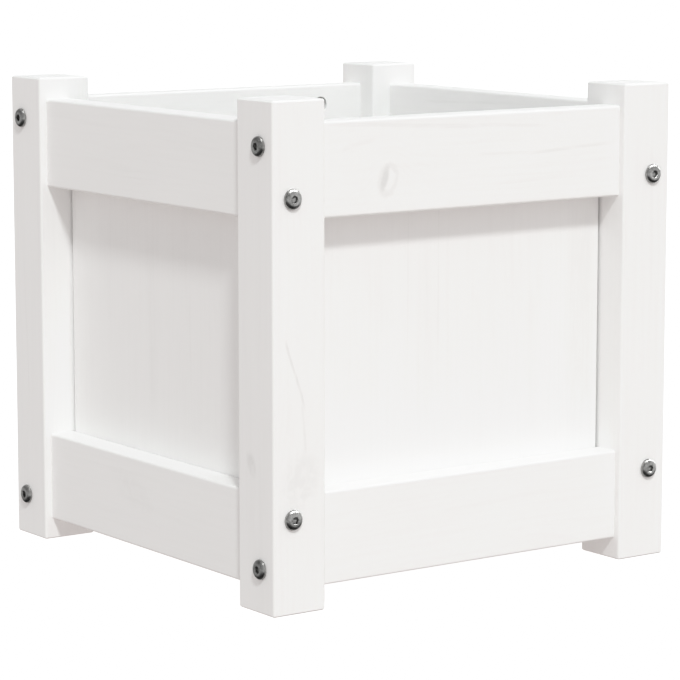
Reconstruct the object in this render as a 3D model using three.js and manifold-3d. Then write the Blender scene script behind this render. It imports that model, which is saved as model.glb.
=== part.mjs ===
// A square wooden garden planter in the Versailles style: four corner posts, four framed sides and a
// slatted floor, held together by socket-head furniture bolts that screw into barrel nuts.
// Millimetres, +Z up. The origin is the centre of the footprint, on the ground. The front faces -Y.
import * as THREE from 'three';
import { mergeVertices } from 'three/addons/utils/BufferGeometryUtils.js';
import Module from 'manifold-3d';

// ---------------------------------------------------------------- driving dimensions
const footprint = 310; // over the posts, along X and along Y
const postHeight = 310;
const postSide = 38;
const postEase = 1.6; // radius of the sanded long edges of the posts

const railThickness = 18;
const railHeight = 58;
const railSetback = 5; // from a post's outer face to the rail's outer face
const railEase = 1.6;
const topRailDrop = 14; // from the top of the posts down to the top rail
const bottomRailLift = 14; // from the ground up to the bottom rail

const panelThickness = 9;
const panelLap = 8; // how far a panel covers each rail, behind it
const panelEndGap = 1.5; // open joint between a panel and the posts beside it
const boardEase = 1; // sanded edges of panels, slats and cleats

const boltEdgeInset = 13.5; // from a rail's edge to the axis of its bolt
const boltShankRadius = 3;
const boltReach = 5; // how far a bolt goes past the axis of its barrel nut
const boltTipChamfer = 0.8;
const headRadius = 6.2;
const headHeight = 2.9;
const headRim = 0.7; // straight edge under the dome
const headFlatRadius = 3.4; // flat round the socket
const socketWidth = 4; // across the flats of the hexagon
const socketDepth = 2.1;
const boltHoleClearance = 0.5; // on the radius, in post and rail

const nutRadius = 5;
const nutLength = 14;
const nutInset = 35; // from a rail's end to the axis of its barrel nut
const nutSlotWidth = 1.4;
const nutSlotDepth = 1.5;
const nutHoleClearance = 0.3; // on the radius
const nutBottomClearance = 0.5; // below the inner end of a nut
const threadClearance = 0.3; // on the radius, between a bolt and its nut

const cleatWidth = 25; // out from the rail
const cleatHeight = 20;
const cleatLift = 6; // above the bottom edge of the rail
const cleatEndGap = 1; // to the post at each end
const slatCount = 5;
const slatWidth = 44;
const slatThickness = 12;
const slatEndGap = 1; // to the post at each end
const slatSideGap = 2; // from the first and last slats to the rails beside them

const screwRadius = 2;
const screwHeadRadius = 4;
const screwHeadHeight = 2.2;
const screwLength = 38;
const screwPointLength = 4;
const screwInset = 40; // from a cleat's end
const screwClearance = 0.3; // on the radius
const screwHeadSink = 0.2; // below the cleat's face

const roundSides = 20; // facets round a bolt head, a nut and its hole
const shankSides = 12; // facets round a shank and its hole
const overrun = 1; // how far a cutter runs past the wood

// ---------------------------------------------------------------- places worked out from them
const half = footprint / 2;
const postCentre = half - postSide / 2;
const postInner = half - postSide; // inner faces of the posts
const railCentre = half - railSetback - railThickness / 2; // middle of a rail's thickness
const railInner = half - railSetback - railThickness; // inner faces of the rails
const railLength = 2 * postInner;
const topRailTop = postHeight - topRailDrop;
const topRailBottom = topRailTop - railHeight;
const bottomRailTop = bottomRailLift + railHeight;
// The bolts of the front and back lie near the outer edges of their rails and the bolts of the left
// and right near the inner edges, so that they pass each other inside the posts.
const outerBoltHeights = { top: topRailTop - boltEdgeInset, bottom: bottomRailLift + boltEdgeInset };
const innerBoltHeights = { top: topRailBottom + boltEdgeInset, bottom: bottomRailTop - boltEdgeInset };
const nutAxis = postInner - nutInset;
const nutHoleDepth = railThickness / 2 + nutLength / 2 + nutBottomClearance;
const boltLength = postSide + nutInset + boltReach;
const boltHoleRadius = boltShankRadius + boltHoleClearance;
const cleatBottom = bottomRailLift + cleatLift;
const slatBottom = cleatBottom + cleatHeight;
const slatLength = 2 * (postInner - slatEndGap);
const slatPitch = (2 * (railInner - slatSideGap) - slatWidth) / (slatCount - 1);

// ---------------------------------------------------------------- materials
const paintedPine = new THREE.MeshStandardMaterial({ color: 0xf1f0ee, roughness: 0.55, metalness: 0 });
const paintedPanel = new THREE.MeshStandardMaterial({ color: 0xeeedeb, roughness: 0.6, metalness: 0 });
const zincSteel = new THREE.MeshStandardMaterial({ color: 0x9a9b9a, roughness: 0.3, metalness: 1 });

// ---------------------------------------------------------------- solid modelling helpers
const wasm = await Module();
wasm.setup();

function solidOf(geometry) {
  const plain = geometry.clone();
  plain.deleteAttribute('normal');
  plain.deleteAttribute('uv');
  const merged = mergeVertices(plain, 1e-4);
  return new wasm.Manifold(
    new wasm.Mesh({
      numProp: 3,
      vertProperties: new Float32Array(merged.attributes.position.array),
      triVerts: new Uint32Array(merged.index.array),
    }),
  );
}

function geometryOf(solid) {
  const { numProp, vertProperties, triVerts } = solid.getMesh();
  const geometry = new THREE.BufferGeometry();
  const interleaved = new THREE.InterleavedBuffer(vertProperties, numProp);
  const points = new Float32Array(triVerts.length * 3);
  for (let i = 0; i < triVerts.length; i++) {
    points.set(interleaved.array.subarray(triVerts[i] * numProp, triVerts[i] * numProp + 3), i * 3);
  }
  geometry.setAttribute('position', new THREE.BufferAttribute(points, 3));
  geometry.computeVertexNormals();
  return geometry;
}

function cut(geometry, cutters) {
  return geometryOf(cutters.reduce((solid, cutter) => solid.subtract(solidOf(cutter)), solidOf(geometry)));
}

// A rectangle with rounded corners, centred on the origin.
function easedRectangle(width, height, radius) {
  const x = width / 2 - radius;
  const y = height / 2 - radius;
  const shape = new THREE.Shape();
  shape.absarc(x, y, radius, 0, Math.PI / 2);
  shape.absarc(-x, y, radius, Math.PI / 2, Math.PI);
  shape.absarc(-x, -y, radius, Math.PI, 1.5 * Math.PI);
  shape.absarc(x, -y, radius, 1.5 * Math.PI, 2 * Math.PI);
  return shape;
}

// A stick of wood along Z, centred on the origin, with eased long edges and chamfered ends.
function stick(width, depth, length, ease, endChamfer = 0) {
  const geometry = new THREE.ExtrudeGeometry(easedRectangle(width, depth, ease), {
    depth: length - 2 * endChamfer,
    curveSegments: 3,
    bevelEnabled: endChamfer > 0,
    bevelThickness: endChamfer,
    bevelSize: endChamfer,
    bevelOffset: -endChamfer,
    bevelSegments: 1,
  });
  return geometry.translate(0, 0, endChamfer - length / 2);
}

// The same stick lying along X, with its depth up Z.
function board(length, thickness, height, ease) {
  return stick(thickness, height, length, ease).rotateX(-Math.PI / 2).rotateZ(-Math.PI / 2);
}

// A drill along X or Y, from one end to the other.
function drillX(radius, sides, fromX, toX, y, z) {
  const drill = new THREE.CylinderGeometry(radius, radius, Math.abs(toX - fromX), sides);
  return drill.rotateZ(Math.PI / 2).translate((fromX + toX) / 2, y, z);
}

function drillY(radius, sides, fromY, toY, x, z) {
  const drill = new THREE.CylinderGeometry(radius, radius, Math.abs(toY - fromY), sides);
  return drill.translate(x, (fromY + toY) / 2, z);
}

function piece(name, geometry, material, x = 0, y = 0, z = 0) {
  const mesh = new THREE.Mesh(geometry, material);
  mesh.name = name;
  mesh.position.set(x, y, z);
  return mesh;
}

// ---------------------------------------------------------------- posts
// A post in its corner: sideX and sideY are -1 or 1.
function post(name, sideX, sideY) {
  const blank = stick(postSide, postSide, postHeight, postEase, boardEase).translate(0, 0, postHeight / 2);
  const offset = railCentre - postCentre;
  const reach = postSide / 2 + overrun;
  const holes = [
    ...Object.values(outerBoltHeights).map((z) =>
      drillX(boltHoleRadius, shankSides, -reach, reach, sideY * offset, z),
    ),
    ...Object.values(innerBoltHeights).map((z) =>
      drillY(boltHoleRadius, shankSides, -reach, reach, sideX * offset, z),
    ),
  ];
  return piece(name, cut(blank, holes), paintedPine, sideX * postCentre, sideY * postCentre, 0);
}

// ---------------------------------------------------------------- framed sides
// Each side is built facing -Y and then turned about Z into its place.
function rail(name, centreZ, boltZ, screwHoles) {
  const blank = board(railLength, railThickness, railHeight, railEase);
  const boltBottom = postInner - nutInset - boltReach - overrun;
  const holes = [-1, 1].flatMap((end) => [
    drillX(boltHoleRadius, shankSides, end * boltBottom, end * (postInner + overrun), 0, boltZ - centreZ),
    drillY(
      nutRadius + nutHoleClearance,
      roundSides,
      railThickness / 2 - nutHoleDepth,
      railThickness / 2 + overrun,
      end * nutAxis,
      boltZ - centreZ,
    ),
  ]);
  return piece(name, cut(blank, [...holes, ...screwHoles]), paintedPine, 0, -railCentre, centreZ);
}

function panel(name) {
  const width = railLength - 2 * panelEndGap;
  const bottom = bottomRailTop - panelLap;
  const height = topRailBottom + panelLap - bottom;
  const geometry = board(width, panelThickness, height, boardEase);
  return piece(name, geometry, paintedPanel, 0, -railInner + panelThickness / 2, bottom + height / 2);
}

// A furniture bolt along X, its head's underside at the origin and its tip towards +X.
function boltGeometry() {
  const dome = new THREE.EllipseCurve(
    headFlatRadius,
    headRim,
    headRadius - headFlatRadius,
    headHeight - headRim,
    0,
    Math.PI / 2,
  );
  const head = [
    new THREE.Vector2(0, 0),
    new THREE.Vector2(headRadius, 0),
    ...dome.getPoints(4),
    new THREE.Vector2(0, headHeight),
  ];
  const shank = [
    new THREE.Vector2(0, -boltLength),
    new THREE.Vector2(boltShankRadius - boltTipChamfer, -boltLength),
    new THREE.Vector2(boltShankRadius, -boltLength + boltTipChamfer),
    new THREE.Vector2(boltShankRadius, headRim / 2),
    new THREE.Vector2(0, headRim / 2),
  ];
  const hexagonRadius = socketWidth / Math.sqrt(3);
  const socket = new THREE.CylinderGeometry(hexagonRadius, hexagonRadius, socketDepth + overrun, 6);
  socket.translate(0, headHeight - socketDepth + (socketDepth + overrun) / 2, 0);
  const whole = solidOf(new THREE.LatheGeometry(head, roundSides))
    .add(solidOf(new THREE.LatheGeometry(shank, shankSides)))
    .subtract(solidOf(socket));
  return geometryOf(whole).rotateZ(Math.PI / 2);
}

// A barrel nut along Y, its slotted end towards +Y, with the thread's hole along X.
function nutGeometry() {
  const barrel = new THREE.CylinderGeometry(nutRadius, nutRadius, nutLength, roundSides);
  const reach = nutRadius + overrun;
  const thread = drillX(boltShankRadius + threadClearance, shankSides, -reach, reach, 0, 0);
  const slot = new THREE.BoxGeometry(2 * reach, nutSlotDepth + overrun, nutSlotWidth);
  slot.translate(0, nutLength / 2 + (overrun - nutSlotDepth) / 2, 0);
  return cut(barrel, [thread, slot]);
}

const boltShape = boltGeometry();
const nutShape = nutGeometry();

// One rail with the two bolts and two barrel nuts that hold it.
function boltedRail(side, level, centreZ, boltZ, screwHoles = []) {
  const group = new THREE.Group();
  group.add(rail(`rail_${side}_${level}`, centreZ, boltZ, screwHoles));
  const ends = { left: -1, right: 1 };
  for (const [end, direction] of Object.entries(ends)) {
    const place = `${side}_${level}_${end}`;
    const bolt = piece(`bolt_${place}`, boltShape, zincSteel, direction * half, -railCentre, boltZ);
    bolt.rotation.z = direction < 0 ? 0 : Math.PI;
    const nut = piece(`barrel_nut_${place}`, nutShape, zincSteel);
    nut.position.set(direction * nutAxis, -railCentre, boltZ);
    group.add(bolt, nut);
  }
  return group;
}

function side(name, turn, boltHeights, screwHoles = []) {
  const group = new THREE.Group();
  group.add(
    boltedRail(name, 'top', topRailTop - railHeight / 2, boltHeights.top),
    boltedRail(name, 'bottom', bottomRailLift + railHeight / 2, boltHeights.bottom, screwHoles),
    panel(`panel_${name}`),
  );
  group.rotation.z = turn;
  return group;
}

// ---------------------------------------------------------------- slatted floor
const cleatLength = railLength - 2 * cleatEndGap;
const screwPlaces = [-1, 1].map((end) => end * (cleatLength / 2 - screwInset));
const screwHeadY = railThickness / 2 + cleatWidth - screwHeadSink; // from the middle of the rail
const screwZ = cleatBottom + cleatHeight / 2;

// A countersunk wood screw that enters a cleat from its +Y face and ends inside the rail behind.
function screwProfile(clearance) {
  return [
    new THREE.Vector2(0, -screwLength - clearance),
    new THREE.Vector2(screwRadius + clearance, -screwLength + screwPointLength - clearance),
    new THREE.Vector2(screwRadius + clearance, -screwHeadHeight),
    new THREE.Vector2(screwHeadRadius + clearance, 0),
  ];
}

function screwGeometry() {
  const profile = [...screwProfile(0), new THREE.Vector2(0, 0)];
  return new THREE.LatheGeometry(profile, shankSides);
}

// The hole that such a screw needs, open above its head.
function screwHole(x, y, z) {
  const profile = [
    ...screwProfile(screwClearance),
    new THREE.Vector2(screwHeadRadius + screwClearance, overrun),
    new THREE.Vector2(0, overrun),
  ];
  return new THREE.LatheGeometry(profile, shankSides).translate(x, y, z);
}

// A cleat on the inner face of a bottom rail, built for a side that faces -Y.
function cleat(name, turn) {
  const group = new THREE.Group();
  const blank = board(cleatLength, cleatWidth, cleatHeight, boardEase);
  const holes = screwPlaces.map((x) => screwHole(x, cleatWidth / 2 - screwHeadSink, 0));
  const wood = piece(`floor_cleat_${name}`, cut(blank, holes), paintedPine);
  wood.position.set(0, -railInner + cleatWidth / 2, screwZ);
  group.add(wood);
  screwPlaces.forEach((x, i) => {
    const screw = piece(`cleat_screw_${name}_${i + 1}`, screwGeometry(), zincSteel);
    screw.position.set(x, screwHeadY - railCentre, screwZ);
    group.add(screw);
  });
  group.rotation.z = turn;
  return group;
}

function slat(index) {
  const y = slatPitch * (index - (slatCount - 1) / 2);
  const geometry = board(slatLength, slatWidth, slatThickness, boardEase);
  return piece(`floor_slat_${index + 1}`, geometry, paintedPanel, 0, y, slatBottom + slatThickness / 2);
}

// ---------------------------------------------------------------- the planter
const railScrewHoles = screwPlaces.map((x) =>
  screwHole(x, screwHeadY, screwZ - bottomRailLift - railHeight / 2),
);

const planter = new THREE.Group();
planter.add(
  post('post_front_left', -1, -1),
  post('post_front_right', 1, -1),
  post('post_back_left', -1, 1),
  post('post_back_right', 1, 1),
  side('front', 0, outerBoltHeights),
  side('right', Math.PI / 2, innerBoltHeights, railScrewHoles),
  side('back', Math.PI, outerBoltHeights),
  side('left', -Math.PI / 2, innerBoltHeights, railScrewHoles),
  cleat('right', Math.PI / 2),
  cleat('left', -Math.PI / 2),
);
for (let i = 0; i < slatCount; i++) planter.add(slat(i));

export default planter;
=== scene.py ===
import math

import bmesh
import bpy
from mathutils import Matrix, Vector


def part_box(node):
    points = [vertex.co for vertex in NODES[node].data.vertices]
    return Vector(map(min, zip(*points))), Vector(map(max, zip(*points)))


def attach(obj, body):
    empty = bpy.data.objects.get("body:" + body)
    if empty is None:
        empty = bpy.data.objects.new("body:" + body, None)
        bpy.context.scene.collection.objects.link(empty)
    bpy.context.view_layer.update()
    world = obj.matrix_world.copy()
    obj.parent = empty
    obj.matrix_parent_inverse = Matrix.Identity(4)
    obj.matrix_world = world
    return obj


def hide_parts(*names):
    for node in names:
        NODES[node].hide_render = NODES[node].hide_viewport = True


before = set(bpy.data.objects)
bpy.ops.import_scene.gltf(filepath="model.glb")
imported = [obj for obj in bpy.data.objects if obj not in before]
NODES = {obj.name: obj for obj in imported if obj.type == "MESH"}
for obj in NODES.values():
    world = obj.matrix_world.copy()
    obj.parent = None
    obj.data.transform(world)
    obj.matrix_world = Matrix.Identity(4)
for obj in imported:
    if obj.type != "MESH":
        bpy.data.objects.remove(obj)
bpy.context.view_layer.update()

MM = 0.001
X, Y, Z = range(3)


def box_mm(node):
    """The low and the high corner of a node's box, in mm."""
    return [[round(value / MM, 3) for value in corner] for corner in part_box(node)]


def centre_of(node):
    low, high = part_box(node)
    return [(low[axis] + high[axis]) / 2 / MM for axis in range(3)]


# ---------------------------------------------------------------- sizes in mm, from the frame
SLATS = [f"floor_slat_{number}" for number in range(1, 6)]
HALF = box_mm("post_back_right")[1][0]
PANEL_INNER = box_mm("panel_back")[0][1]
SLAT_TOP = box_mm(SLATS[0])[1][2]

# ---------------------------------------------------------------- the bolts' sizes in mm, from the solids
HEAD_RADIUS = 6.2
HEAD_HEIGHT = 2.9
HEAD_RIM = 0.7
HEAD_FLAT = 3.4
SOCKET_WIDTH = 4.0
SOCKET_DEPTH = 2.1
SHANK_RADIUS = 3.0
BOLT_LENGTH = 78.0
THREAD_LENGTH = 30.0
THREAD_PITCH = 1.0


# ---------------------------------------------------------------- node graph helpers
class Graph:
    """Adds shader nodes to one material or world, with inputs given as sockets or as plain values."""

    def __init__(self, owner, output):
        owner.use_nodes = True
        self.tree = owner.node_tree
        self.shader = self.tree.nodes[output]

    def put(self, socket, value):
        if isinstance(value, bpy.types.NodeSocket):
            self.tree.links.new(value, socket)
        elif value is not None:
            socket.default_value = value

    def node(self, kind, inputs=(), **settings):
        made = self.tree.nodes.new(kind)
        for key, value in settings.items():
            setattr(made, key, value)
        for key, value in dict(inputs).items():
            self.put(made.inputs[key], value)
        return made

    def math(self, operation, *values):
        made = self.node("ShaderNodeMath", operation=operation)
        for socket, value in zip(made.inputs, values):
            self.put(socket, value)
        return made.outputs[0]

    def chain(self, operation, values):
        result = values[0]
        for value in values[1:]:
            result = self.math(operation, result, value)
        return result

    def total(self, *values):
        return self.chain("ADD", values)

    def product(self, *values):
        return self.chain("MULTIPLY", values)

    def length(self, x, y):
        return self.math("SQRT", self.total(self.product(x, x), self.product(y, y)))

    def vector(self, x, y, z):
        return self.node("ShaderNodeCombineXYZ", {"X": x, "Y": y, "Z": z}).outputs[0]

    def noise(self, vector, scale=1.0, detail=2.0, roughness=0.5, distortion=0.0):
        inputs = {"Vector": vector, "Scale": scale, "Detail": detail, "Roughness": roughness}
        return self.node("ShaderNodeTexNoise", {**inputs, "Distortion": distortion}).outputs["Fac"]

    def ramp(self, value, low, high, to_low=0.0, to_high=1.0):
        """Goes smoothly from to_low, where value is low, to to_high, where it is high."""
        made = self.node("ShaderNodeMapRange", interpolation_type="SMOOTHSTEP")
        for socket, number in zip(made.inputs, (value, low, high, to_low, to_high)):
            self.put(socket, number)
        return made.outputs[0]

    def mix(self, amount, first, second):
        made = self.node("ShaderNodeMix", data_type="RGBA")
        self.put(made.inputs["Factor"], amount)
        self.put(made.inputs[6], first)
        self.put(made.inputs[7], second)
        return made.outputs[2]


class Surface(Graph):
    """A new material with a principled shader."""

    def __init__(self, name):
        self.material = bpy.data.materials.new(name)
        super().__init__(self.material, "Principled BSDF")

    def set(self, **inputs):
        """Puts each input in the shader's socket of that name, with a space for each underscore."""
        for key, value in inputs.items():
            self.put(self.shader.inputs[key.replace("_", " ")], value)

    def bump(self, strength, distance, height):
        """distance is in mm."""
        inputs = {"Strength": strength, "Distance": distance * MM, "Height": height}
        self.set(Normal=self.node("ShaderNodeBump", inputs).outputs["Normal"])


# ---------------------------------------------------------------- painted pine
PAINT = (0.955, 0.950, 0.943, 1)
GRAIN = (0.872, 0.867, 0.858, 1)
KNOT = (0.590, 0.580, 0.568, 1)
SEED_STEP = 11.7  # how far apart the noise of one piece and of the next one lie
MARK_DEPTH = 3.0  # a mark fades in over this depth from the middle of the wood to its face, in mm

# noise: its scales along and across the grain, per mm, its detail and its roughness
SWAY_NOISE = (0.006, 0.02, 2.0)
WANDER_NOISE = (0.03, 0.3, 2.0)
PATCH_NOISE = (0.012, 0.05, 3.0)
PORE_NOISE = (0.011, 0.33, 3.0, 0.6)
FIBRE_NOISE = (0.05, 2.6, 3.0, 0.65)
CLOUD_NOISE = (0.01, 0.02, 2.0)
PEEL_SCALE = 0.9

# growth rings: their spacing, and how far they swing to and fro and wander, in mm; then where in one turn
# the late wood darkens and where it ends, and the values of noise between which it comes and goes
RING_SPACING = 3.1
SWAY = 16.0
SWAY_SHARE = 0.6
WANDER = 1.6
LATE_STARTS = (0.35, 0.88)
LATE_ENDS = (0.9, 1.0)
LATE_PATCHES = (0.40, 0.70)
LEAST_LATE = 0.1

# knots: where each zone starts and ends, in half sizes from the knot's middle
RING_STARTS = (0.62, 0.85)
RING_ENDS = (0.95, 1.30)
SLIT_ENDS = (0.35, 1.05)
BEND_ENDS = (0.5, 3.2)
BEND_SIZE = 1.2
SLIT_THINNESS = 2.0
SLIT_PLACE = 0.75
WOBBLE = 0.5
WOBBLE_SCALE = 0.30

# streaks: where they ease, start and end, as shares of their length, and how patchy they are
STREAK_EASE = (-0.2, 1.1)
STREAK_STARTS = (-0.04, 0.12)
STREAK_ENDS = (0.80, 1.04)
STREAK_CORE = 0.3
STREAK_STRETCH = 0.09
STREAK_SCALE = 0.6
STREAK_PATCHES = (0.3, 0.6)
LEAST_STREAK = 0.45

# stains
STAIN_TILT = 20.0
STAIN_ENDS = (0.35, 1.1)
SWIRL_SCALE = 0.07
SWIRL_TWIST = 2.5
SWIRLS = (0.38, 0.60)
LEAST_SWIRL = 0.35

# how much of the grain's colour each brings, where the contrast is 1, and how much the paint covers again
LATE_WOOD_TINT = 0.24
PORE_TINT = 0.28
FIBRE_TINT = 0.22
PAINT_COVER = 0.08
DARK_PORES = (0.42, 0.72)

# clouds of thinner paint, which are the same at any contrast
CLOUD_TINT = 0.30
CLOUD_COVER = 0.12

# how much of the knots' colour shows through the paint
HEART_TINT = 0.38
HALO_TINT = 0.12

# how far each lifts or sinks the surface, as a share of BUMP_HEIGHT, which is in mm
LATE_WOOD_RISE = 0.42
FIBRE_RISE = 0.6
PORE_RISE = 0.6
PEEL_RISE = 0.22
LINE_RISE = -0.3
HEART_RISE = -0.15
BUMP_STRENGTH = 0.5
BUMP_HEIGHT = 0.22

ROUGHNESS = 0.40
PORE_ROUGHNESS = 0.16
PEEL_ROUGHNESS = 0.10
PAINT_GLOSS = 0.42


class Pine(Surface):
    """The shader of one painted piece. Places are in mm from the middle of the piece: a runs along the
    grain, and b and c across it."""

    def __init__(self, name, centre, along, seed):
        super().__init__(name)
        self.seed = seed
        self.shift = seed * SEED_STEP
        self.across = [axis for axis in range(3) if axis != along]
        place = self.node("ShaderNodeTexCoord").outputs["Object"]
        offset = [-value * MM for value in centre]
        shifted = self.node("ShaderNodeVectorMath", {0: place, 1: offset}, operation="ADD")
        apart = self.node("ShaderNodeSeparateXYZ", {0: shifted.outputs[0]}).outputs
        self.mm = [self.product(apart[axis], 1 / MM) for axis in range(3)]
        self.a = self.mm[along]
        self.b, self.c = (self.mm[axis] for axis in self.across)

    def grain_noise(self, stretch, width, detail, roughness=0.5):
        """Noise drawn out along the grain. stretch and width are its scales along and across, per mm."""
        lengthwise = self.math("MULTIPLY_ADD", self.a, stretch, self.shift)
        crosswise = [self.product(value, width) for value in (self.b, self.c)]
        return self.noise(self.vector(lengthwise, *crosswise), 1.0, detail, roughness)

    def mark_place(self, axis, side):
        """Where a mark lies that is seen on the face at the low or high end, side -1 or 1, of one axis:
        the place across the grain on that face, and how near the face is, 0 to 1."""
        across_face = self.b if self.across[0] != axis else self.c
        depth = self.product(self.mm[axis], side)
        return across_face, self.ramp(depth, 0.0, MARK_DEPTH)

    def oval(self, across_face, at, off, half_along, half_across, tilt):
        """The two places in a tilted oval, in its half sizes, and the distance: 0 in its middle and 1 on
        its rim."""
        cos, sin = math.cos(math.radians(tilt)), math.sin(math.radians(tilt))
        u = self.math("SUBTRACT", self.a, at)
        v = self.math("SUBTRACT", across_face, off)
        du = self.total(self.product(u, cos / half_along), self.product(v, sin / half_along))
        dv = self.total(self.product(u, -sin / half_across), self.product(v, cos / half_across))
        return du, dv, self.length(du, dv)

    def knots(self, knots):
        """A dark slit beside a pale crescent, in a thin dark ring. Gives how far the growth rings bend round
        the knots, in mm, and where the slits and the rings are."""
        bulge, heart, halo = 0.0, 0.0, 0.0
        for axis, side, at, off, half_along, half_across, tilt in knots:
            face, near = self.mark_place(axis, side)
            du, dv, edge = self.oval(face, at, off, half_along, half_across, tilt)
            wobble = self.noise(self.vector(self.a, face, self.seed), WOBBLE_SCALE)
            edge = self.total(edge, self.math("MULTIPLY_ADD", wobble, WOBBLE, -WOBBLE / 2))
            bend = self.ramp(edge, *BEND_ENDS, BEND_SIZE * half_along, 0.0)
            bulge = self.total(bulge, self.product(bend, near))
            slit = self.length(self.math("MULTIPLY_ADD", du, SLIT_THINNESS, SLIT_PLACE), dv)
            core = self.product(self.ramp(slit, *SLIT_ENDS, 1.0, 0.0), near)
            heart = self.math("MAXIMUM", heart, core)
            ring = self.product(self.ramp(edge, *RING_STARTS), self.ramp(edge, *RING_ENDS, 1.0, 0.0))
            halo = self.math("MAXIMUM", halo, self.product(ring, near))
        return bulge, heart, halo

    def streaks(self, streaks):
        """Soft lines and bands between two points, (along, across) each, that ease from one to the other
        and fade at both ends."""
        streak_and_shade = 0.0
        for axis, side, start, end, half_width, strength in streaks:
            face, near = self.mark_place(axis, side)
            way = self.math("DIVIDE", self.math("SUBTRACT", self.a, start[0]), end[0] - start[0])
            eased = self.ramp(way, *STREAK_EASE, *STREAK_EASE)
            middle = self.math("MULTIPLY_ADD", eased, end[1] - start[1], start[1])
            gap = self.math("ABSOLUTE", self.math("SUBTRACT", face, middle))
            inside = self.product(self.ramp(way, *STREAK_STARTS), self.ramp(way, *STREAK_ENDS, 1.0, 0.0))
            drawn_out = self.vector(self.product(self.a, STREAK_STRETCH), face, self.seed)
            patchy = self.noise(drawn_out, STREAK_SCALE)
            broken = self.ramp(patchy, *STREAK_PATCHES, LEAST_STREAK, 1.0)
            across = self.ramp(gap, half_width * STREAK_CORE, half_width, strength, 0.0)
            drawn = self.product(across, inside)
            streak_and_shade = self.math("MAXIMUM", streak_and_shade, self.product(drawn, broken, near))
        return streak_and_shade

    def stains(self, stains):
        """Clouded ovals of knot that show through the paint."""
        stain = 0.0
        for axis, side, at, off, half_along, half_across, strength in stains:
            face, near = self.mark_place(axis, side)
            edge = self.oval(face, at, off, half_along, half_across, STAIN_TILT)[-1]
            swirl = self.noise(self.vector(self.a, face, self.seed), SWIRL_SCALE, distortion=SWIRL_TWIST)
            inside = self.ramp(edge, *STAIN_ENDS, strength, 0.0)
            cloudy = self.ramp(swirl, *SWIRLS, LEAST_SWIRL, 1.0)
            stain = self.math("MAXIMUM", stain, self.product(inside, cloudy, near))
        return stain

    def late_wood(self, pith, bulge):
        """Growth rings round the pith, drawn out along the grain. Each darkens slowly and ends sharply."""
        sway = self.math("MULTIPLY_ADD", self.grain_noise(*SWAY_NOISE), SWAY, -SWAY / 2)
        db = self.total(self.math("SUBTRACT", self.b, pith[0]), sway)
        dc = self.total(self.math("SUBTRACT", self.c, pith[1]), self.product(sway, SWAY_SHARE))
        wander = self.product(self.grain_noise(*WANDER_NOISE), WANDER)
        radius = self.total(self.length(db, dc), wander, bulge, self.shift)
        turn = self.math("FRACT", self.math("DIVIDE", radius, RING_SPACING))
        patches = self.ramp(self.grain_noise(*PATCH_NOISE), *LATE_PATCHES, LEAST_LATE, 1.0)
        return self.product(self.ramp(turn, *LATE_STARTS), self.ramp(turn, *LATE_ENDS, 1.0, 0.0), patches)


def painted_pine(node, along, pith, seed, contrast, knots=(), streaks=(), stains=()):
    """White satin paint over pine, for one node. along is the axis of the grain, 0 to 2, and pith is where
    the heart of the log lies, in mm across the grain from the piece's middle."""
    wood = Pine(f"pine_{node}", centre_of(node), along, seed)
    bulge, heart, halo = wood.knots(knots)
    streak_and_shade = wood.streaks(streaks)
    stain = wood.stains(stains)
    late = wood.late_wood(pith, bulge)
    pores = wood.grain_noise(*PORE_NOISE)
    fibre = wood.grain_noise(*FIBRE_NOISE)
    cloud = wood.grain_noise(*CLOUD_NOISE)
    peel = wood.noise(wood.vector(wood.a, wood.b, wood.c), PEEL_SCALE)

    amount = wood.total(
        wood.product(late, LATE_WOOD_TINT * contrast),
        wood.ramp(pores, *DARK_PORES, 0.0, PORE_TINT * contrast),
        wood.product(fibre, FIBRE_TINT * contrast),
        wood.math("MULTIPLY_ADD", cloud, CLOUD_TINT, -CLOUD_COVER - PAINT_COVER * contrast),
        streak_and_shade,
    )
    colour = wood.mix(amount, PAINT, GRAIN)
    if knots or stains:
        marked = wood.total(wood.product(heart, HEART_TINT), wood.product(halo, HALO_TINT), stain)
        colour = wood.mix(marked, colour, KNOT)
    rough = wood.math("MULTIPLY_ADD", pores, PORE_ROUGHNESS, ROUGHNESS)
    rough = wood.total(rough, wood.product(peel, PEEL_ROUGHNESS))
    wood.set(Base_Color=colour, Roughness=rough, Specular_IOR_Level=PAINT_GLOSS)

    height = wood.total(
        wood.product(late, LATE_WOOD_RISE * contrast),
        wood.product(fibre, FIBRE_RISE * contrast),
        wood.product(pores, PORE_RISE * contrast),
        wood.product(peel, PEEL_RISE),
        wood.product(streak_and_shade, LINE_RISE),
        wood.product(heart, HEART_RISE),
    )
    wood.bump(BUMP_STRENGTH, BUMP_HEIGHT, height)
    return wood.material


# ---------------------------------------------------------------- zinc-plated steel
BLOTCH_SHARE = 0.12  # scale of the blotches beside the grain's
SPANGLE_SHARE = 0.8
DARK_GRAINS = (0.35, 0.70)
DARK_BLOTCHES = (0.45, 0.75)
BLOTCH_TINT = 0.45
SPANGLE_TINT = 0.15
GRAIN_ROUGHNESS = 0.22
STEEL_BUMP_STRENGTH = 0.35
STEEL_BUMP_HEIGHT = 0.06  # in mm


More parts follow.
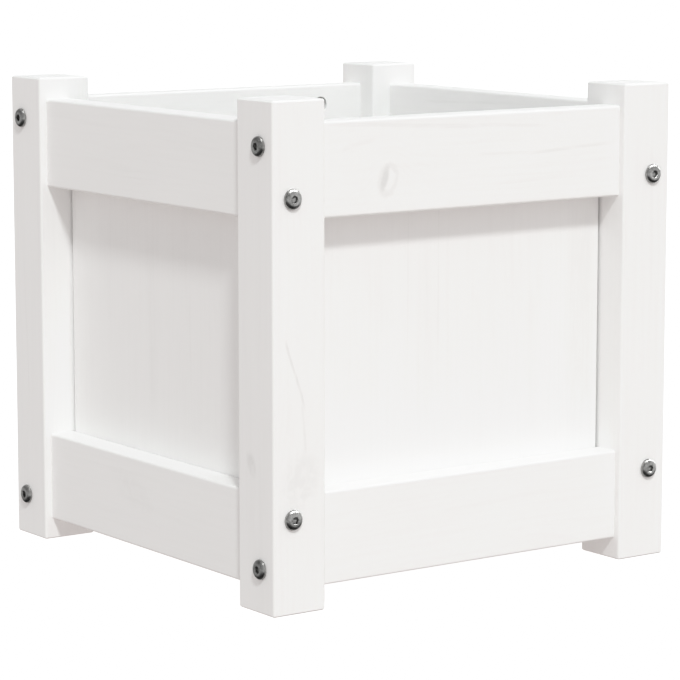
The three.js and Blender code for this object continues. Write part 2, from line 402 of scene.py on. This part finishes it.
def steel(name, colour, dark, rough, scale):
    """Blotched zinc with a fine grain. scale is that of the grain's noise, per metre."""
    metal = Surface(name)
    place = metal.node("ShaderNodeTexCoord").outputs["Object"]
    grains = metal.noise(place, scale, 4.0, 0.65)
    blotches = metal.noise(place, scale * BLOTCH_SHARE, 3.0, 0.55)
    cells = {"Vector": place, "Scale": scale * SPANGLE_SHARE}
    spangle = metal.node("ShaderNodeTexVoronoi", cells, feature="F1")
    amount = metal.total(
        metal.ramp(grains, *DARK_GRAINS, 0.0, BLOTCH_TINT),
        metal.ramp(blotches, *DARK_BLOTCHES, 0.0, BLOTCH_TINT),
        metal.product(spangle.outputs["Distance"], SPANGLE_TINT),
    )
    rough = metal.math("MULTIPLY_ADD", grains, GRAIN_ROUGHNESS, rough)
    metal.set(Base_Color=metal.mix(amount, colour, dark), Metallic=1.0, Roughness=rough)
    metal.bump(STEEL_BUMP_STRENGTH, STEEL_BUMP_HEIGHT, grains)
    return metal.material


BOLT_STEEL = steel("bolt_steel", (0.50, 0.50, 0.49, 1), (0.16, 0.16, 0.155, 1), rough=0.20, scale=900.0)
NUT_STEEL = steel("nut_steel", (0.52, 0.52, 0.50, 1), (0.20, 0.195, 0.18, 1), rough=0.26, scale=700.0)
NAIL_STEEL = steel("nail_steel", (0.58, 0.58, 0.57, 1), (0.30, 0.30, 0.29, 1), rough=0.34, scale=800.0)


# ---------------------------------------------------------------- dressing the solids
def dress(node, material, edge=0.0):
    """Gives a node its material, and eases its edges by so many mm."""
    piece = NODES[node]
    piece.data.materials.clear()
    piece.data.materials.append(material)
    if edge:
        bevel = piece.modifiers.new("edge", "BEVEL")
        bevel.width = edge * MM
        bevel.segments = 2
        bevel.limit_method = "ANGLE"
        bevel.angle_limit = math.radians(60)
        bevel.harden_normals = False


# Marks in the wood, in mm from the middle of each piece, and one band of painted shade on the front
# panel, beside the front right post. A mark begins with the axis that its face looks along and -1 or 1
# for the face's end of that axis. A knot goes on with its place along and across the grain, its half
# sizes and its tilt in degrees; a streak with its two ends, half width and strength; a stain with its
# place, half sizes and strength.
FRONT = (Y, -1)
BACK = (Y, 1)
LEFT = (X, -1)
RIGHT = (X, 1)
TOP = (Z, 1)
INSIDE_RIGHT = LEFT  # the inner face of the right rail looks the same way as the left faces

# the first piece's seed in each kind, the contrast of the grain, and how far edges are eased, in mm
POST_SEED = 1.0
RAIL_SEED = 6.0
PANEL_SEED = 20.0
SLAT_SEED = 30.0
CLEAT_SEED = 40.0
WALL_CONTRAST = 0.42
PANEL_CONTRAST = 0.46
FLOOR_CONTRAST = 0.8
THIN_EDGE = 0.25
RAIL_EDGE = 0.4

POST_MARKS = {
    "front_left": {
        "streaks": [
            (*FRONT, (13.0, -8.6), (-32.0, 2.8), 1.3, 0.95),
            (*FRONT, (-26.0, 2.2), (-58.0, 4.3), 1.2, 0.60),
            (*LEFT, (60.0, -6.0), (-30.0, -3.0), 1.6, 0.12),
        ],
        "stains": [(*FRONT, -73.0, 1.0, 21.0, 16.0, 0.13), (*LEFT, -64.5, 4.7, 9.5, 5.2, 0.24)],
    },
    "back_left": {"streaks": [(*LEFT, (40.0, 5.0), (-70.0, 1.0), 1.2, 0.2)]},
    "front_right": {"streaks": [(*FRONT, (120.0, 4.0), (20.0, 6.0), 2.4, 0.18)]},
    "back_right": {"knots": [(*RIGHT, 38.0, -5.0, 4.2, 3.2, 10.0)]},
}
POST_PITHS = ((34, 22), (46, -18), (-30, 40), (-22, -38))
for index, ((place, marks), pith) in enumerate(zip(POST_MARKS.items(), POST_PITHS)):
    node = f"post_{place}"
    dress(node, painted_pine(node, Z, pith, POST_SEED + index, WALL_CONTRAST, **marks), THIN_EDGE)

RAIL_MARKS = {
    "front_top": {
        "knots": [(*FRONT, -67.0, -8.3, 6.6, 9.4, -16.0)],
        "streaks": [
            (*FRONT, (-112.0, 26.4), (10.0, 21.5), 1.9, 0.42),
            (*FRONT, (0.0, 21.6), (60.0, 19.2), 1.6, 0.38),
            (*FRONT, (2.0, 3.6), (48.0, 3.0), 1.2, 0.32),
            (*FRONT, (42.0, 2.6), (112.0, 5.4), 1.5, 0.50),
            (*FRONT, (-102.0, 12.5), (-76.0, 16.0), 2.2, 0.26),
            (*FRONT, (14.0, -15.0), (90.0, -13.0), 2.2, 0.16),
        ],
    },
    "front_bottom": {"streaks": [(*FRONT, (-30.0, 6.0), (70.0, 9.0), 2.0, 0.2)]},
    "left_top": {
        "streaks": [
            (*LEFT, (-90.0, 10.0), (-10.0, 13.0), 2.2, 0.14),
            (*LEFT, (10.0, -9.0), (80.0, -6.0), 2.4, 0.12),
        ],
    },
    "left_bottom": {
        "streaks": [(*LEFT, (-60.0, -4.0), (40.0, 2.0), 2.4, 0.12)],
        "stains": [(*LEFT, 12.0, 6.0, 30.0, 12.0, 0.06)],
    },
    "back_top": {"knots": [(*BACK, 55.0, 9.0, 4.4, 5.6, -12.0)]},
    "back_bottom": {"knots": [(*BACK, -20.0, -8.0, 5.0, 6.4, 8.0)]},
    "right_top": {
        "knots": [(*RIGHT, -35.0, 6.0, 4.0, 5.4, 14.0)],
        "streaks": [(*INSIDE_RIGHT, (-20.0, 22.0), (80.0, 19.0), 1.4, 0.4)],
    },
    "right_bottom": {"streaks": [(*RIGHT, (-60.0, -8.0), (50.0, -3.0), 1.6, 0.35)]},
}
RAIL_PITHS = ((-52, 30), (-48, -34), (44, 28), (60, -20), (50, 24), (46, -30), (-56, 18), (-44, 36))
for index, ((place, marks), pith) in enumerate(zip(RAIL_MARKS.items(), RAIL_PITHS)):
    node = f"rail_{place}"
    along = X if place.startswith(("front", "back")) else Y
    dress(node, painted_pine(node, along, pith, RAIL_SEED + index, WALL_CONTRAST, **marks), RAIL_EDGE)

PANEL_MARKS_AND_SHADE = {
    "front": {
        "streaks": [
            (*FRONT, (88.0, -14.4), (-12.0, -14.6), 0.8, 0.40),
            (*FRONT, (88.0, -38.0), (-20.0, -38.6), 0.8, 0.32),
            # painted shade: this band darkens the panel's end beside the front right post, where the post
            # shades it
            (*FRONT, (88.0, 101.0), (-88.0, 101.0), 14.0, 0.30),
            (*FRONT, (60.0, -26.0), (-70.0, -26.0), 9.0, 0.14),
            (*FRONT, (30.0, 60.0), (-88.0, 62.0), 6.0, 0.14),
        ],
    },
    "left": {
        "streaks": [
            (*LEFT, (60.0, 18.0), (-60.0, 16.0), 6.0, 0.2),
            (*LEFT, (20.0, -28.0), (-40.0, -29.0), 1.2, 0.25),
        ],
    },
    "back": {"knots": [(*BACK, 34.0, 42.0, 6.2, 4.4, 5.0)]},
    "right": {"knots": [(*RIGHT, -40.0, -50.0, 5.4, 4.0, -8.0)]},
}
PANEL_PITHS = ((12, -70), (20, -70), (-18, 76), (-12, 80))
for index, ((place, marks), pith) in enumerate(zip(PANEL_MARKS_AND_SHADE.items(), PANEL_PITHS)):
    node = f"panel_{place}"
    dress(node, painted_pine(node, Z, pith, PANEL_SEED + index, PANEL_CONTRAST, **marks), THIN_EDGE)

SLAT_KNOTS = {1: [(*TOP, 25.0, 6.0, 5.0, 3.6, 12.0)], 4: [(*TOP, -80.0, 6.0, 5.0, 3.6, 12.0)]}
for index, node in enumerate(SLATS):
    # the pith lies to one side and the other in turn, and lower each time
    pith = ((-1) ** index * (22 + 9 * index), 40 - 6 * index)
    knots = SLAT_KNOTS.get(index, [])
    dress(node, painted_pine(node, X, pith, SLAT_SEED + index, FLOOR_CONTRAST, knots), THIN_EDGE)

CLEAT_PITH = (30, -18)
for index, node in enumerate(("floor_cleat_left", "floor_cleat_right")):
    dress(node, painted_pine(node, Y, CLEAT_PITH, CLEAT_SEED + index, FLOOR_CONTRAST), THIN_EDGE)

for name in NODES:
    if name.startswith(("barrel_nut_", "cleat_screw_")):
        dress(name, NUT_STEEL)


# ---------------------------------------------------------------- bolts
BOLT_SIDES = 60
DOME_STEPS = 9
DOME_STEP = 0.06  # how far the dome stands in from the head's rim
TIP_CHAMFER = 0.7
SOCKET_CHAMFER = 0.3
SOCKET_POINT_RADIUS = 0.8
SOCKET_POINT_DEPTH = 0.5
SOCKET_FLARE = 0.5
HEAD_EDGE = 0.25
RIM_EDGE = 0.2
RUNOUT = 0.5  # from the end of the thread's core to the full shank
THREAD_DEPTH = 0.45
THREAD_SINK = 0.05  # how far the thread's foot lies inside the core
THREAD_FOOT = 0.42  # half its width at the foot and at the crest
THREAD_CREST = 0.06
THREAD_MARGIN = 1.0  # left free at both ends
THREAD_SIDES = 18  # points along one turn of the thread
SMOOTH_ANGLE = 35.0
FIRST_TURN = 17.0  # how far the first bolt is turned round its axis
TURN_STEP = 41.0  # and each one more than the last


def smooth_mesh(name, vertices, faces, material):
    """A mesh from points in mm, smooth but for its sharp edges."""
    mesh = bpy.data.meshes.new(name)
    mesh.from_pydata([Vector(v) * MM for v in vertices], [], faces)
    mesh.validate()
    made = bmesh.new()
    made.from_mesh(mesh)
    bmesh.ops.recalc_face_normals(made, faces=made.faces)
    limit = math.radians(SMOOTH_ANGLE)
    for face in made.faces:
        face.smooth = True
    for edge in made.edges:
        edge.smooth = len(edge.link_faces) == 2 and edge.calc_face_angle(0.0) < limit
    made.to_mesh(mesh)
    made.free()
    mesh.materials.append(material)
    return mesh


def bolt_rings():
    """The bolt's outline from its tip to the floor of its socket, as rings of (radius, height, angle).
    Height 0 is the underside of the head."""
    angles = [2 * math.pi * k / BOLT_SIDES for k in range(BOLT_SIDES)]

    def circle(radius, height):
        return [(radius, height, angle) for angle in angles]

    def hexagon(width, height):
        ring = []
        for angle in angles:
            from_flat = (angle + math.pi / 6) % (math.pi / 3) - math.pi / 6
            ring.append((width / 2 / math.cos(from_flat), height, angle))
        return ring

    core = SHANK_RADIUS - THREAD_DEPTH
    thread_end = THREAD_LENGTH - BOLT_LENGTH
    dome_radius = HEAD_RADIUS - DOME_STEP - HEAD_FLAT
    dome = []
    for k in range(DOME_STEPS + 1):
        turn = math.pi / 2 * k / DOME_STEPS
        height = HEAD_RIM + (HEAD_HEIGHT - HEAD_RIM) * math.sin(turn)
        dome.append(circle(HEAD_FLAT + dome_radius * math.cos(turn), height))
    return [
        circle(core - THREAD_DEPTH, -BOLT_LENGTH),
        circle(core, TIP_CHAMFER - BOLT_LENGTH),
        circle(core, thread_end),
        circle(SHANK_RADIUS, thread_end + RUNOUT),
        circle(SHANK_RADIUS, 0.0),
        circle(HEAD_RADIUS - HEAD_EDGE, 0.0),
        circle(HEAD_RADIUS, HEAD_EDGE),
        circle(HEAD_RADIUS, HEAD_RIM - RIM_EDGE),
        *dome,
        hexagon(SOCKET_WIDTH + SOCKET_FLARE, HEAD_HEIGHT),
        hexagon(SOCKET_WIDTH, HEAD_HEIGHT - SOCKET_CHAMFER),
        hexagon(SOCKET_WIDTH, HEAD_HEIGHT - SOCKET_DEPTH),
        circle(SOCKET_POINT_RADIUS, HEAD_HEIGHT - SOCKET_DEPTH - SOCKET_POINT_DEPTH),
    ]


def add_thread(vertices, faces):
    """The thread, as one helical ridge that stands on the core and fades at both ends."""
    core = SHANK_RADIUS - THREAD_DEPTH
    foot = core - THREAD_SINK
    outline = ((0, -THREAD_FOOT), (1, -THREAD_CREST), (1, THREAD_CREST), (0, THREAD_FOOT))
    start = len(vertices)
    turns = round((THREAD_LENGTH - 2 * THREAD_MARGIN) / THREAD_PITCH)
    count = turns * THREAD_SIDES + 1
    for k in range(count):
        angle = 2 * math.pi * k / THREAD_SIDES
        middle = BOLT_LENGTH - THREAD_LENGTH + THREAD_MARGIN + THREAD_PITCH * k / THREAD_SIDES
        fade = min(1.0, k / THREAD_SIDES, (count - 1 - k) / THREAD_SIDES)
        crest = core + (SHANK_RADIUS - core) * fade
        for raised, offset in outline:
            radius = crest if raised else foot
            vertices.append((middle + offset, radius * math.cos(angle), radius * math.sin(angle)))
    for k in range(count - 1):
        for j in range(4):
            a, b = start + 4 * k + j, start + 4 * k + (j + 1) % 4
            faces.append((a, b, b + 4, a + 4))
    last = start + 4 * (count - 1)
    faces.append(tuple(start + j for j in range(4))[::-1])
    faces.append(tuple(last + j for j in range(4)))


def bolt_mesh():
    """A button-head bolt: the underside of the head at the origin, the head towards -X and the tip at +X."""
    rings = bolt_rings()
    vertices = [(-h, r * math.cos(t), r * math.sin(t)) for ring in rings for r, h, t in ring]
    faces = []
    for ring in range(len(rings) - 1):
        for k in range(BOLT_SIDES):
            a, b = ring * BOLT_SIDES + k, ring * BOLT_SIDES + (k + 1) % BOLT_SIDES
            faces.append((a, b, b + BOLT_SIDES, a + BOLT_SIDES))
    last = (len(rings) - 1) * BOLT_SIDES
    faces.append(tuple(range(BOLT_SIDES))[::-1])
    faces.append(tuple(range(last, last + BOLT_SIDES)))
    add_thread(vertices, faces)
    return smooth_mesh("furniture_bolt", vertices, faces, BOLT_STEEL)


BOLT = bolt_mesh()
for number, name in enumerate(sorted(n for n in NODES if n.startswith("bolt_"))):
    low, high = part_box(name)
    middle = (Vector(low) + Vector(high)) / 2
    size = Vector(high) - Vector(low)
    axis = max(range(3), key=lambda i: size[i])
    inward = Vector((0, 0, 0))
    inward[axis] = -1.0 if middle[axis] > 0 else 1.0
    under_head = middle.copy()
    under_head[axis] = -inward[axis] * HALF * MM
    turn = Matrix.Rotation(math.radians(FIRST_TURN + TURN_STEP * number), 4, "X")
    lay = Vector((1, 0, 0)).rotation_difference(inward).to_matrix().to_4x4()
    piece = bpy.data.objects.new(f"steel_{name}", BOLT)
    bpy.context.scene.collection.objects.link(piece)
    piece.matrix_world = Matrix.Translation(under_head) @ lay @ turn
    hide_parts(name)
    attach(piece, "root")


# ---------------------------------------------------------------- nails
NAIL_SIDES = 16
NAIL_OUTLINE = ((1.35, -0.6), (1.35, 0.05), (1.1, 0.18), (0.45, 0.2), (0.3, 0.12))  # radius and height
PANEL_NAIL_SPREAD = (-102.0, -34.0, 34.0, 102.0)
PANEL_NAIL_HEIGHTS = (68.0, 242.0)
SLAT_NAIL_X = 112.5
SLAT_NAIL_Y = 12.0
END_SLAT_SHARE = 0.55  # in the two outer slats the nails stand closer together


def nail_heads(name, places, facing):
    """Small round nail heads at places in mm, all facing one way, in one piece."""
    made = bmesh.new()
    lay = Vector((0, 0, 1)).rotation_difference(Vector(facing)).to_matrix().to_4x4()
    for place in places:
        rings = []
        for radius, height in NAIL_OUTLINE:
            ring = []
            for k in range(NAIL_SIDES):
                angle = 2 * math.pi * k / NAIL_SIDES
                at = lay @ Vector((radius * math.cos(angle), radius * math.sin(angle), height))
                ring.append(made.verts.new((at + Vector(place)) * MM))
            rings.append(ring)
        for lower, upper in zip(rings, rings[1:]):
            for k in range(NAIL_SIDES):
                after = (k + 1) % NAIL_SIDES
                made.faces.new((lower[k], lower[after], upper[after], upper[k]))
        made.faces.new(rings[-1])
        made.faces.new(rings[0][::-1])
    bmesh.ops.recalc_face_normals(made, faces=made.faces)
    for face in made.faces:
        face.smooth = True
    mesh = bpy.data.meshes.new(name)
    made.to_mesh(mesh)
    made.free()
    mesh.materials.append(NAIL_STEEL)
    piece = bpy.data.objects.new(name, mesh)
    bpy.context.scene.collection.objects.link(piece)
    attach(piece, "root")


INWARD = {"front": (0, 1, 0), "back": (0, -1, 0), "left": (1, 0, 0), "right": (-1, 0, 0)}
for side, (x, y, z) in INWARD.items():
    places = []
    for along in PANEL_NAIL_SPREAD:
        for height in PANEL_NAIL_HEIGHTS:
            if x:
                places.append((-x * PANEL_INNER, along, height))
            else:
                places.append((along, -y * PANEL_INNER, height))
    nail_heads(f"panel_nails_{side}", places, (x, y, z))

places = []
for node in SLATS:
    share = END_SLAT_SHARE if node in (SLATS[0], SLATS[-1]) else 1.0
    slat_y = round(centre_of(node)[1], 3)
    for x in (-SLAT_NAIL_X, SLAT_NAIL_X):
        for y in (-SLAT_NAIL_Y, SLAT_NAIL_Y):
            places.append((x, slat_y + y * share, SLAT_TOP))
nail_heads("slat_nails", places, (0, 0, 1))

# ---------------------------------------------------------------- floor
FLOOR_HALF = 40.0  # in metres, like the drop
FLOOR_DROP = 0.0002
FLOOR_ROUGHNESS = 0.9
FLOOR_GLOSS = 0.1
HAZE_SCALE = 1.5
FLOOR_GLOW = 0.85
FLOOR_DARK = (0.91, 0.91, 0.91, 1)
FLOOR_PALE = (0.93, 0.93, 0.93, 1)
floor_mesh = bpy.data.meshes.new("studio_floor")
corners = [(x * FLOOR_HALF, y * FLOOR_HALF, 0) for x, y in ((-1, -1), (1, -1), (1, 1), (-1, 1))]
floor_mesh.from_pydata(corners, [], [(0, 1, 2, 3)])
floor = bpy.data.objects.new("studio_floor", floor_mesh)
floor.location.z = -FLOOR_DROP
bpy.context.scene.collection.objects.link(floor)
paper = Surface("studio_floor")
haze = paper.noise(paper.node("ShaderNodeTexCoord").outputs["Object"], HAZE_SCALE)
paper.set(Base_Color=paper.mix(haze, FLOOR_DARK, FLOOR_PALE))
paper.set(Roughness=FLOOR_ROUGHNESS, Specular_IOR_Level=FLOOR_GLOSS)
paper.set(Emission_Color=(1, 1, 1, 1), Emission_Strength=FLOOR_GLOW)
floor_mesh.materials.append(paper.material)
floor.visible_diffuse = False
floor.visible_glossy = False
floor.visible_shadow = False

# ---------------------------------------------------------------- light
# The world lights the planter evenly from above and below. What the steel reflects is a dimmer studio
# with a dark ground, a right side that is brighter than the left, and three softboxes. The camera itself
# sees plain white.
WHITE = 1.25  # the light that the film shows as white
SKY_LIGHT = 0.73
ZENITH_LIGHT = 0.55
GROUND_LIGHT = 0.625
GROUND_COLOUR = (1.0, 0.925, 0.90)
REFLECTED_GROUND = 0.03
REFLECTED_HORIZON = 0.85
REFLECTED_SIDE = 0.27
REFLECTED_SKY = 0.50
HORIZON_BLEND = (-0.1, 0.1)  # heights over the horizon, each as the sine of an elevation
GROUND_FADE = (-0.45, -0.1)
SKY_FADE = (-0.08, 0.12)
SOFTBOX_STRENGTH = 14.0
SOFTBOX_HALF_ANGLE = 13.0
SOFTBOX_BLUR = 0.15
SOFTBOXES = ((150.0, 74.0), (98.0, 47.0), (72.0, 15.0))  # azimuth from +Y towards +X, and elevation
KEY_LIGHT = 1.42
KEY_COLOUR = (0.955, 1.0, 1.0)
FILL_LIGHT = 0.20


def softbox(studio, heading, azimuth, elevation):
    """The light of one round softbox, in the direction heading."""
    a, e = math.radians(azimuth), math.radians(elevation)
    towards = (math.sin(a) * math.cos(e), math.cos(a) * math.cos(e), math.sin(e))
    facing = studio.node("ShaderNodeVectorMath", {0: heading, 1: towards}, operation="DOT_PRODUCT")
    outer = math.cos(math.radians(SOFTBOX_HALF_ANGLE * (1 + SOFTBOX_BLUR)))
    inner = math.cos(math.radians(SOFTBOX_HALF_ANGLE * (1 - SOFTBOX_BLUR)))
    return studio.ramp(facing.outputs["Value"], outer, inner, 0.0, SOFTBOX_STRENGTH)


def make_world():
    """The world's three looks: what lights the planter, what its steel reflects and what the camera sees."""
    world = bpy.data.worlds.new("studio")
    bpy.context.scene.world = world
    studio = Graph(world, "Background")
    heading = studio.node("ShaderNodeTexCoord").outputs["Generated"]
    upward = studio.node("ShaderNodeSeparateXYZ", {0: heading}).outputs
    height = upward["Z"]
    above = studio.math("MULTIPLY_ADD", height, ZENITH_LIGHT - SKY_LIGHT, SKY_LIGHT)
    ground = [GROUND_LIGHT * value for value in GROUND_COLOUR] + [1]
    even = studio.mix(studio.ramp(height, *HORIZON_BLEND), ground, above)

    sideways = studio.math("SUBTRACT", upward["X"], upward["Y"])
    horizon = studio.math("MULTIPLY_ADD", sideways, REFLECTED_SIDE / math.sqrt(2), REFLECTED_HORIZON)
    below = studio.product(horizon, studio.ramp(height, *GROUND_FADE))
    sky = studio.ramp(height, *SKY_FADE, 0.0, REFLECTED_SKY - REFLECTED_HORIZON)
    boxes = [softbox(studio, heading, azimuth, elevation) for azimuth, elevation in SOFTBOXES]
    reflected = studio.total(below, REFLECTED_GROUND, sky, *boxes)

    rays = studio.node("ShaderNodeLightPath").outputs
    lit = studio.mix(rays["Is Glossy Ray"], even, reflected)
    seen = studio.mix(rays["Is Camera Ray"], lit, (WHITE, WHITE, WHITE, 1))
    studio.put(studio.shader.inputs["Color"], seen)


def sun(name, azimuth, elevation, strength, spread, colour=(1, 1, 1)):
    """azimuth is where the light comes from, in degrees from -Y towards -X, and spread is the angle that
    the light's source fills."""
    data = bpy.data.lights.new(name, "SUN")
    data.energy = strength
    data.color = colour
    data.angle = math.radians(spread)
    lamp = bpy.data.objects.new(name, data)
    a, e = math.radians(azimuth), math.radians(elevation)
    source = Vector((-math.sin(a) * math.cos(e), -math.cos(a) * math.cos(e), math.sin(e)))
    lamp.rotation_euler = (-source).to_track_quat("-Z", "Y").to_euler()
    lamp.location = source * 3
    lamp.visible_glossy = False
    bpy.context.scene.collection.objects.link(lamp)


make_world()
sun("key", azimuth=26.0, elevation=47.0, strength=KEY_LIGHT, spread=7.0, colour=KEY_COLOUR)
sun("fill", azimuth=-42.0, elevation=36.0, strength=FILL_LIGHT, spread=40.0)

# ---------------------------------------------------------------- camera and film
LENS_MM = 157.23
SENSOR_MM = 36.0
CAMERA_PLACE = (-1.1329, -1.5899, 0.4290)  # in metres
CAMERA_YAW = 0.6210
CAMERA_PITCH = -0.1487
lens = bpy.data.cameras.new("camera")
lens.lens = LENS_MM
lens.sensor_width = SENSOR_MM
camera = bpy.data.objects.new("camera", lens)
camera.location = CAMERA_PLACE
camera.rotation_euler = (math.pi / 2 + CAMERA_PITCH, 0.0, -CAMERA_YAW)
bpy.context.scene.collection.objects.link(camera)
bpy.context.scene.camera = camera

# The film is true almost up to the white of the paint in full light, and then bends softly to white. Each
# pair is a light and how it is shown.
SHOULDER = ((0.875, 0.875), (1.0, 0.940), (1.125, 0.980))
view = bpy.context.scene.view_settings
view.view_transform = "Standard"
view.use_curve_mapping = True
film = view.curve_mapping
film.white_level = (WHITE, WHITE, WHITE)
film.extend = "HORIZONTAL"
film_curve = film.curves[3]
for light, shown in SHOULDER:
    film_curve.points.new(light / WHITE, shown)
for point in film_curve.points:
    point.handle_type = "VECTOR"
film.update()

bpy.context.view_layer.update()
